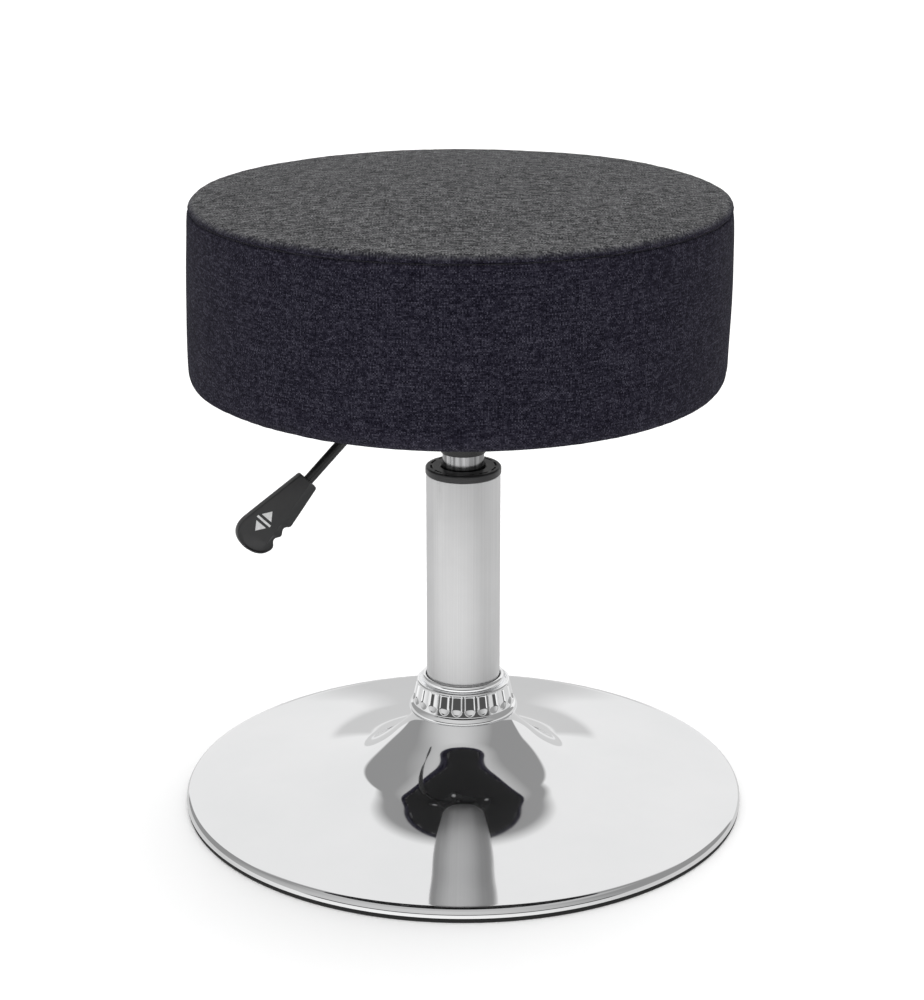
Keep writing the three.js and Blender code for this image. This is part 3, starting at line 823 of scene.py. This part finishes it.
PIVOT = next(j for j in frame["joints"] if j["name"] == "lever_lift")
LEVER_AXIS = -Vector(PIVOT["axis"])
LEVER_OUT = Vector((LEVER_AXIS.y, -LEVER_AXIS.x, 0)).normalized()
if LEVER_OUT.x > 0:
    LEVER_OUT = -LEVER_OUT
LEVER_SLOPE = math.radians(45)
LEVER_RADIUS = 3.5 * MM
LEVER_HEIGHT = 285.2 * MM
LEVER_BEND = 63.5 * MM
HANDLE_START = 108 * MM
AWAY = LEVER_OUT * math.cos(LEVER_SLOPE) - UP * math.sin(LEVER_SLOPE)
ACROSS = LEVER_OUT * math.sin(LEVER_SLOPE) + UP * math.cos(LEVER_SLOPE)
FACING = ACROSS.cross(AWAY)
BEND_POINT = LEVER_OUT * LEVER_BEND + UP * LEVER_HEIGHT
HANDLE_POINT = BEND_POINT + AWAY * (HANDLE_START - LEVER_BEND) / math.cos(LEVER_SLOPE)


def on_handle(s, w, t=0.0):
    """A point of the handle, in metres along it, across it and out of its face."""
    return HANDLE_POINT + AWAY * s + ACROSS * w + FACING * t


def make_lever():
    setback = 16 * MM * math.tan(LEVER_SLOPE / 2)
    path = [LEVER_OUT * -5 * MM + UP * LEVER_HEIGHT, LEVER_OUT * 20 * MM + UP * LEVER_HEIGHT]
    start, end = BEND_POINT - LEVER_OUT * setback, BEND_POINT + AWAY * setback
    path += [bend(start, BEND_POINT, end, k / 12) for k in range(13)]
    path.append(on_handle(20 * MM, 0))
    bm = bmesh.new()
    swept(bm, path, LEVER_RADIUS, 28)
    bar = object_of(bm, "lever_bar", MATERIALS["black_steel"])
    settle(bar, "lever", "black_steel", "lever_rod")


def handle_outline():
    """The handle's outline as (along, across): a widening wedge, two finger scallops, a round end."""
    # Each row: where a curve starts, what it bends towards and its steps, in mm. It ends at the next start.
    rows = [
        ((0.0, -5.0), (0.0, -7.4), 5), ((2.6, -7.6), (16.0, -9.7), 14),
        ((29.5, -11.7), (31.2, -11.9), 5), ((32.2, -10.3), (34.2, -7.6), 12),
        ((37.2, -10.0), (39.4, -12.0), 6), ((41.4, -10.0), (44.0, -7.4), 12),
        ((46.6, -10.6), (48.4, -12.8), 6), ((51.0, -12.0), (57.6, -10.4), 12),
        ((59.6, -2.4), (61.6, 6.0), 12), ((58.0, 11.8), (54.0, 17.6), 12),
        ((45.0, 16.3), (22.5, 12.0), 20), ((1.2, 7.9), (0.0, 7.6), 4),
        ((0.0, 6.4), (0.0, 0.7), 16),
    ]
    points = []
    for (start, control, steps), (end, _, _) in zip(rows, rows[1:] + rows[:1]):
        curve = [bend(Vector(start), Vector(control), Vector(end), k / steps) for k in range(steps)]
        points += [(p.x * MM, p.y * MM) for p in curve]
    return points


def make_handle():
    """The handle's two faces rise from its rounded edge to a ridge nearer the scalloped side."""
    ridge_start, ridge_end = Vector((0, 0.4 * MM)), Vector((49 * MM, -5.4 * MM))
    edge, crest, corner = 3.5 * MM, 6.6 * MM, 1.2 * MM
    crest_fall = 0.1  # the ridge's loss of height at the round end
    tail_start, tail_length, tail_fall = 40 * MM, 20 * MM, 0.35  # the round end's edge gets thinner
    dish = 0.06  # how hollow the faces are
    ridge = ridge_end - ridge_start
    columns = []
    for point in handle_outline():
        p = Vector(point)
        t = max(0.0, min(1.0, (p - ridge_start).dot(ridge) / ridge.length_squared))
        inward = ridge_start + t * ridge - p
        turn = min(corner, 0.4 * inward.length)
        start = turn / inward.length
        column = [(p, 0.0)]
        for k in range(6):
            a = math.radians(90 * k / 5)
            inner = p + inward.normalized() * turn * (1 - math.cos(a))
            column.append((inner, edge - turn + turn * math.sin(a)))
        for k in range(1, 13):
            f = k / 12
            fall = 1 - tail_fall * max(0.0, (p.x - tail_start) / tail_length) * (1 - f)
            rise = f - dish * math.sin(math.pi * f)
            inner = p + inward * (start + (1 - start) * f)
            column.append((inner, edge * fall + (crest * (1 - crest_fall * t) - edge) * rise))
        columns.append(column)
    bm = bmesh.new()
    front = [[on_handle(p.x, p.y, height) for p, height in row] for row in zip(*columns)]
    back = [[on_handle(p.x, p.y, -height) for p, height in row] for row in zip(*columns)]
    lofted(bm, back[::-1] + front[1:])
    for face in [f for f in bm.faces if f.calc_area() < 1e-14]:
        bm.faces.remove(face)
    handle = object_of(bm, "lever_grip", MATERIALS["black_plastic"], 60)
    settle(handle, "lever", "black_plastic", "lever_handle")
    make_arrows(handle)


def make_arrows(handle):
    """Plain up and down arrows and a bar, printed on the handle's broad face."""
    tree = tree_of(handle.data)
    middle_along, middle_across = 39.0 * MM, 6.2 * MM
    up = [(-4.2, 2.6), (4.2, 2.6), (0.0, 8.4)]
    down = [(x, -y) for x, y in up]
    bar = [(-5.6, -0.75), (5.6, -0.75), (5.6, 0.75), (-5.6, 0.75)]
    ink, above = 0.06 * MM, 30 * MM
    bm = bmesh.new()
    for shape in (up, down, bar):
        points = [Vector((x * MM, y * MM)) for x, y in shape]
        centre = sum(points, Vector((0, 0))) / len(points)
        divided = []
        for a, b in zip(points, points[1:] + points[:1]):
            divided += [a.lerp(b, k / 6) for k in range(6)]
        rings = []
        for share in (1.0, 0.75, 0.5, 0.25, 0.0):
            ring = []
            for p in divided:
                x, y = centre + (p - centre) * share
                start = on_handle(middle_along - y, middle_across + x, above)
                ring.append(tree.ray_cast(start, -FACING)[0] + FACING * ink)
            rings.append(ring)
        lofted(bm, rings)
    bmesh.ops.dissolve_degenerate(bm, edges=bm.edges, dist=1e-7)
    settle(object_of(bm, "handle_arrows", MATERIALS["print"]), "lever", "black_plastic")


# -------- upholstery

CUSHION_INSET = 2.5 * MM
FOAM_GAP = 5.5 * MM
VOXEL = 5 * MM
PRESSURE = 4.0
STIFFNESS, BENDING = 40, 8
LAST_FRAME = 20
MOST_SWELL = 3 * MM
SEAM_HOLD, UNDER_HOLD = 7 * MM, 8 * MM  # how far from the seam and above the hem the form is held
AROUND = 540  # points around a panel
CLOTH_THICKNESS = 1 * MM
TURN_IN = 17 * MM
HEM_RADIUS = 148 * MM
BACK_SEAM = math.pi / 2  # the side panel's ends are sewn together at the back
STITCH, THREAD_RADIUS = 3.6 * MM, 0.28 * MM


def side_outline(inset=0.0):
    """From the hem's inner edge, round the turned-in lower edge and up to the seam."""
    lower = arc(SEAT_RADIUS - TURN_IN, HEM + TURN_IN, TURN_IN - inset, -90, 0, 24)
    wide = SEAT_RADIUS - inset
    bulge = [(wide + 0.7 * MM, 0.345), (wide + 0.4 * MM, 0.385)]
    upper = spline([lower[-1], *bulge, (SEAM_RADIUS - inset, SEAM_HEIGHT)], 60)
    return [(HEM_RADIUS, HEM + inset)] + lower + upper[1:]


def top_outline(inset=0.0):
    """From the seam over the rolled edge to the middle of the crown."""
    roll = arc(SEAM_RADIUS - EDGE_ROLL, SEAM_HEIGHT, EDGE_ROLL - inset, 0, 90, 22)
    crown = spline([roll[-1], (0.110, CROWN - 0.4 * CROWN_RISE - inset), (0.0, CROWN - inset)], 50)
    return roll + crown[1:]


def swollen_core():
    """The stuffed form as cloth under pressure, held at the seam and under the seat.

    Returns two trees to measure, the form at rest and swollen.
    """
    outline = [(0.0, HEM + CUSHION_INSET)] + side_outline(CUSHION_INSET) + top_outline(CUSHION_INSET)[1:]
    core = revolved("core", outline, MATERIALS["foam"], 96)
    modify(core, "REMESH", mode="VOXEL", voxel_size=VOXEL)
    mesh = core.data
    rest = np.array([v.co for v in mesh.vertices])
    held = core.vertex_groups.new(name="held")
    for vertex in mesh.vertices:
        co = vertex.co
        from_seam = math.hypot(math.hypot(co.x, co.y) - SEAM_RADIUS, co.z - SEAM_HEIGHT)
        if from_seam < SEAM_HOLD or co.z < HEM + UNDER_HOLD:
            held.add([vertex.index], 1.0, "REPLACE")
    cloth = core.modifiers.new("cloth", "CLOTH")
    cloth.settings.use_pressure = True
    cloth.settings.uniform_pressure_force = PRESSURE
    cloth.settings.effector_weights.gravity = 0
    cloth.settings.vertex_group_mass = "held"
    cloth.settings.quality = 6
    cloth.settings.tension_stiffness = STIFFNESS
    cloth.settings.compression_stiffness = STIFFNESS
    cloth.settings.bending_stiffness = BENDING
    cloth.point_cache.frame_start, cloth.point_cache.frame_end = 1, LAST_FRAME
    scene = bpy.context.scene
    scene.frame_start, scene.frame_end = 1, LAST_FRAME
    for number in range(1, LAST_FRAME + 1):
        scene.frame_set(number)
    evaluated = core.evaluated_get(bpy.context.evaluated_depsgraph_get())
    moved = np.array([v.co for v in evaluated.data.vertices])
    shift = moved - rest
    shift *= min(1.0, MOST_SWELL / np.linalg.norm(shift, axis=1).max())
    faces = [p.vertices for p in mesh.polygons]
    forms = rest, rest + shift
    trees = [BVHTree.FromPolygons([Vector(p) for p in form], faces) for form in forms]
    scene.frame_set(1)
    bpy.data.objects.remove(core)
    return trees


def smoothed(field, passes):
    """A grid of values around the seat, blurred both ways, with its first and last row kept in place."""
    for _ in range(passes):
        field = (np.roll(field, 1, 1) + np.roll(field, -1, 1) + 2 * field) / 4
        inner = (field[:-2] + field[2:] + 2 * field[1:-1]) / 4
        field = np.concatenate([field[:1], inner, field[-1:]])
    return field


def make_panel(name, node, outline, trees, detail):
    """One cover panel: the outline turned about Z and moved out by the swelling and the detail.

    Returns the panel's rings of points.
    """
    p = np.array(outline)
    along = np.gradient(p, axis=0)
    along /= np.maximum(np.linalg.norm(along, axis=1), 1e-12)[:, None]
    normal = np.stack([along[:, 1], -along[:, 0]], 1)
    middle, inside = len(p) // 2, np.array([0.0, 0.36])
    if normal[middle] @ (p[middle] - inside) < 0:
        normal = -normal
    angles = np.linspace(0, TURN, AROUND, endpoint=False)
    swell = np.zeros((len(p), AROUND))
    # The swelling is measured at every fourth point, by rays from this far outside the outline.
    stride, start = 4, 15 * MM

    def distance(tree, origin, out):
        found = tree.ray_cast(origin, -out, 2 * start)[3]
        return start if found is None else found

    for i in range(len(p)):
        for k in range(0, AROUND, stride):
            c, s = math.cos(angles[k]), math.sin(angles[k])
            out = Vector((normal[i, 0] * c, normal[i, 0] * s, normal[i, 1]))
            origin = Vector((p[i, 0] * c, p[i, 0] * s, p[i, 1])) + out * start
            at_rest, swollen = (distance(tree, origin, out) for tree in trees)
            swell[i, k : k + stride] = at_rest - swollen
    swell = smoothed(swell, 10)
    rings = []
    for i, (r, z) in enumerate(p):
        ring = []
        for k, a in enumerate(angles):
            d = swell[i, k] + detail(i, a, r, z)
            rr, zz = r + normal[i, 0] * d, z + normal[i, 1] * d
            aside, lower = lean(a, r, z)
            ring.append((rr * math.cos(a) - aside, rr * math.sin(a), zz - lower))
        rings.append(ring)
    bm = bmesh.new()
    lofted(bm, rings)
    material = "fabric_top" if node == "seat_cover_top" else "fabric_side"
    cover = object_of(bm, name, MATERIALS[material], 80)
    modify(cover, "SOLIDIFY", thickness=CLOTH_THICKNESS, offset=-1)
    settle(cover, "seat", "fabric", node)
    return rings


def between(low, value, high):
    return min(high, max(low, value))


def seam_pull(distance, a, seed):
    """How far the cover is drawn in beside a seam: a narrow valley, and puckers that die away."""
    narrow = 1.3 * MM * math.exp(-((distance / (1.1 * MM)) ** 2))
    broad = 0.5 * MM * math.exp(-((distance / (5 * MM)) ** 2))
    x, y = math.cos(a), math.sin(a)
    coarse = noise.noise(Vector((x * 22, y * 22, seed)))
    fine = noise.noise(Vector((x * 60, y * 60, seed + 3)))
    return 0.4 * MM * (coarse + 0.6 * fine) * math.exp(-distance / (9 * MM)) - narrow - broad


def lean(a, r, z):
    """How far the stuffing sits to the left, more so lower down, and how far it sags.

    It sags at its lower left edge, and a little at both sides of the top.
    """
    free = between(0.0, (z - HEM) / (12 * MM), 1.0)
    low = between(0.0, (0.40 - z) / 0.08, 1.0)
    high = between(0.0, (z - SEAM_HEIGHT) / EDGE_ROLL, 1.0)
    left = math.exp(-(((a - math.radians(205)) / 0.45) ** 2))
    outer = min(1.0, r / SEAT_RADIUS)
    edge_sag = 5.5 * MM * low * left * outer**4 * free
    top_sag = 0.6 * MM * high * math.cos(a) ** 2 * outer**6
    return (ASIDE + 1.4 * MM * low) * free, edge_sag + top_sag


def unevenness(a, z):
    """The slight hand-made unevenness of the stuffed form."""
    x, y = math.cos(a), math.sin(a)
    slow = noise.noise(Vector((x * 1.3, y * 1.3, z * 9 + 3)))
    quick = noise.noise(Vector((x * 5, y * 5, z * 24 + 3)))
    return 1.1 * MM * slow + 0.25 * MM * quick


def make_cover():
    trees = swollen_core()
    side = side_outline()
    side_length = lengths_along(side)

    def side_detail(i, a, r, z):
        from_seam = side_length[-1] - side_length[i]
        loose = between(0.0, (z - HEM) / (30 * MM), 1.0)
        from_back = abs((a - BACK_SEAM + math.pi) % TURN - math.pi) * r
        pull = seam_pull(from_seam, a, 1.0) + 0.55 * seam_pull(from_back, z * 12, 7.0) * loose
        gathers = 0.0
        if z > HEM + MM:
            under = math.exp(-(((z - HEM) / (12 * MM)) ** 2))
            gathers = under * noise.noise(Vector((math.cos(a) * 26, math.sin(a) * 26, 20.0)))
        return pull + unevenness(a, z) * loose + 0.3 * MM * gathers

    rings = make_panel("seat_side_panel", "seat_cover_side", side, trees, side_detail)
    lid = top_outline()
    lid_length = lengths_along(lid)

    def top_detail(i, a, r, z):
        near = min(1.0, r / 0.15)
        slow = noise.noise(Vector((math.cos(a) * r * 9, math.sin(a) * r * 9, 4.0)))
        pull = seam_pull(lid_length[i], a, 2.0) * near
        return pull + 0.7 * MM * slow + unevenness(a, SEAM_HEIGHT) * near**6

    make_panel("seat_top_panel", "seat_cover_top", lid, trees, top_detail)
    make_stitches(rings)


def make_foam():
    """The foam block between the board and the cover, crowned like the seat."""
    low = bottom("seat_foam")
    side = [p for p in side_outline(FOAM_GAP) if p[1] > low + 2 * MM]
    outline = [(0.0, low), (side[0][0] - 3 * MM, low)] + side + top_outline(FOAM_GAP)[1:]
    foam = revolved("seat_foam_block", outline, MATERIALS["foam"], 128)
    for vertex in foam.data.vertices:
        co = vertex.co
        aside, lower = lean(math.atan2(co.y, co.x) % TURN, math.hypot(co.x, co.y), co.z)
        co.x -= aside
        co.z -= lower
    settle(foam, "seat", "foam", "seat_foam")


def make_stitches(rings):
    """Thread in the seam around the top edge, and in the upright seam at the back.

    The rings are the side panel's, from the hem to the seam.
    """
    bm = bmesh.new()
    enters, leaves = 0.14, 0.86  # shares of a stitch's length where its thread comes out and goes in
    ring = [Vector(p) for p in rings[-1]]
    count = int(TURN * SEAM_RADIUS / STITCH)

    def on_ring(share):
        place = share * len(ring)
        i = int(place) % len(ring)
        return ring[i].lerp(ring[(i + 1) % len(ring)], place % 1)

    for k in range(count):
        a, b = on_ring((k + enters) / count), on_ring((k + leaves) / count)
        out = Vector((a.x, a.y, 0)).normalized() * 0.1 * MM
        swept(bm, [a, a.lerp(b, 0.15) + out, a.lerp(b, 0.85) + out, b], THREAD_RADIUS, 6)
    # The upright seam starts in the turned-in lower edge and ends just below the seam around the top.
    back = [Vector(row[int(AROUND * BACK_SEAM / TURN)]) for row in rings[14:-2]]
    lengths = lengths_along(back)
    for k in range(int(lengths[-1] / STITCH)):
        ends = []
        for share in (enters, leaves):
            place = (k + share) * STITCH
            i = min(len(back) - 2, int(np.searchsorted(lengths, place, "right")) - 1)
            step = (place - lengths[i]) / (lengths[i + 1] - lengths[i])
            ends.append(back[i].lerp(back[i + 1], min(1.0, step)) + Vector((0, 0.2 * MM, 0)))
        swept(bm, ends, THREAD_RADIUS, 6)
    settle(object_of(bm, "seam_stitches", MATERIALS["thread"], 60), "seat", "fabric")


# -------- nodes kept from the frame


def dress_frame():
    """The other nodes keep their shape and get their slot's material, smooth where they are round."""
    slots = {row["node"]: row["material_slot"] for row in frame["record"]["subparts"]}
    for name, node in NODES.items():
        slot = slots[name]
        bm = bmesh.new()
        bm.from_mesh(node.data)
        write_smooth(bm, node.data, 40, MATERIALS["fabric_side" if slot == "fabric" else slot])


# -------- studio


OVERHEAD, FRONT = 2.4, 9.0  # the lights' power
# How bright the surroundings are.
WHITE_SWEEP, GREY_PANEL, SIDE_WALLS, FRONT_FILL, CEILING = 0.92, 0.66, 0.32, 0.34, 0.55
FAR_FLOOR, FRONT_GLOW, DARK_SKIRTING = 0.68, 0.36, 0.08
SWEEP_HEADING = math.radians(7.5)  # the middle of the white sweep, from +Y towards +X
FRONT_HEADING = math.radians(20)  # the brightest part of the front, from -Y towards -X


def make_surroundings():
    """What the plating mirrors: a white sweep and a grey panel behind, grey walls, a lit front."""
    s = Shader("studio_scratch")
    world = bpy.data.worlds.new("studio")
    bpy.context.scene.world = world
    world.use_nodes = True
    s.tree = world.node_tree
    back = s.tree.nodes["Background"]
    x, y, z = s.split(s.add("TexCoord").outputs["Generated"])
    flat = s.math("MAXIMUM", s.radius(x, y), 0.001)

    def towards(heading_x, heading_y):
        """How squarely a direction heads that way, seen from above."""
        level = s.plus(s.times(x, heading_x), s.times(y, heading_y))
        return s.math("DIVIDE", level, flat)

    def mixed(factor, a, b):
        rest = s.times(s.minus(1.0, factor), a)
        return s.plus(rest, s.times(factor, b))

    front = s.math("MAXIMUM", towards(-math.sin(FRONT_HEADING), -math.cos(FRONT_HEADING)), 0.0)
    walls = s.math("MULTIPLY_ADD", front, FRONT_FILL, SIDE_WALLS)
    sweep = s.span(towards(math.sin(SWEEP_HEADING), math.cos(SWEEP_HEADING)), 0.75, 0.78)
    # The grey panel stands straight behind the object, narrow above a wider foot.
    behind = towards(0.0, 1.0)
    tall = s.times(s.span(behind, 0.9970, 0.9988), s.span(z, 0.42, 0.40))
    low = s.times(s.span(behind, 0.9870, 0.9905), s.span(z, 0.23, 0.20))
    panel = s.times(s.math("MAXIMUM", tall, low), s.span(z, 0.01, 0.03))
    sweep_tone = mixed(panel, WHITE_SWEEP, GREY_PANEL)
    tone = mixed(s.times(sweep, s.span(z, 0.73, 0.68)), walls, sweep_tone)
    # Above and below the walls are the ceiling and the far floor, and a dark skirting runs in front.
    tone = mixed(s.span(z, 0.80, 0.90), tone, CEILING)
    floor_tone = s.math("MULTIPLY_ADD", front, FRONT_GLOW, FAR_FLOOR)
    tone = mixed(s.span(z, 0.01, -0.01), tone, floor_tone)
    skirting = s.times(s.span(z, -0.13, -0.09), s.span(z, 0.10, 0.07))
    skirting = s.times(skirting, s.span(towards(0.0, -1.0), 0.40, 0.55))
    tone = mixed(skirting, tone, DARK_SKIRTING)
    s.put(back.inputs["Color"], s.join(tone, tone, tone))
    bpy.data.materials.remove(s.material)


FLOOR_RADIUS, BACKDROP_RADIUS = 40, 16


def make_backdrop():
    """A plain white shell around everything that only the camera sees: light and reflections pass it."""
    bpy.ops.mesh.primitive_uv_sphere_add(segments=64, ring_count=32, radius=BACKDROP_RADIUS)
    shell = bpy.context.object
    shell.name = "backdrop"
    s = Shader("plain_white")
    s.set(Base_Color=(0.0, 0.0, 0.0), Roughness=1.0, Specular_IOR_Level=0.0)
    s.set(Emission_Color=(1.0, 1.0, 1.0), Emission_Strength=1.0)
    s.material.cycles.emission_sampling = "NONE"
    shell.data.materials.append(s.material)
    shell.visible_diffuse = shell.visible_glossy = False
    shell.visible_transmission = shell.visible_shadow = False


def make_studio():
    bpy.ops.mesh.primitive_circle_add(vertices=96, radius=FLOOR_RADIUS, fill_type="NGON")
    floor = bpy.context.object
    floor.name = "floor"
    s = Shader("pale_floor")
    s.set(Base_Color=(0.93, 0.93, 0.93), Roughness=0.75, Specular_IOR_Level=0.2)
    s.set(Emission_Color=(1.0, 1.0, 1.0), Emission_Strength=0.08)
    floor.data.materials.append(s.material)
    floor.visible_glossy = False

    make_backdrop()
    make_surroundings()
    sun = make_lamp("overhead", "SUN", OVERHEAD)
    sun.data.angle = math.radians(70)
    sun.rotation_euler = (math.radians(-12), math.radians(6), 0)
    front = make_lamp("front_left", "AREA", FRONT)
    front.data.size = 1.4
    front.location = (-1.8, -2.2, 1.9)
    aim = Vector((0, 0, 0.25)) - front.location
    front.rotation_euler = aim.to_track_quat("-Z", "Y").to_euler()
    settings = bpy.context.scene.view_settings
    settings.view_transform, settings.look = "Standard", "None"


make_camera()
dress_frame()
make_base()
make_collar()
make_column()
make_mechanism()
make_lever()
make_handle()
make_cover()
make_foam()
make_studio()
